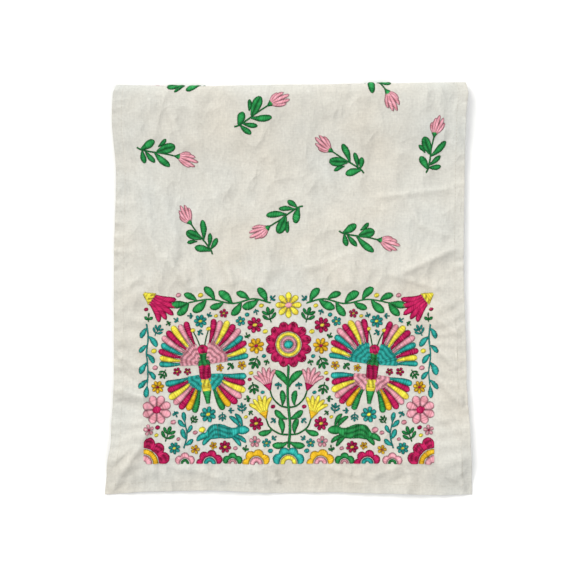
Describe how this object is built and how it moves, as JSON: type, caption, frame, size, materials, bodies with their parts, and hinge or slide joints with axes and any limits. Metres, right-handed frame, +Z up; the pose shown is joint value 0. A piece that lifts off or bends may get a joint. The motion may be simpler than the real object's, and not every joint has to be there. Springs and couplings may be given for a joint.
{
  "type": "folded otomi embroidered cloth",
  "caption": "Hemmed cotton table runner with satin-stitched flower sprigs and a bordered end panel, folded in half and in half again and lying flat.",
  "frame": {"origin": "on the surface that the bundle lies on, under the middle of its box", "axes": "+Z up, -Y towards the front hem, +Y towards the outer fold, +X to the right as seen from above with the hem nearest"},
  "size_m": [0.3561, 0.4006, 0.014],
  "materials": {
    "cotton_cloth": "undyed plain-woven cotton, matt, lightly creased",
    "embroidery_thread": "dyed embroidery thread in satin stitch, soft sheen"
  },
  "bodies": {
    "root": {"runner_cloth": "cotton_cloth"}
  },
  "joints": []
}
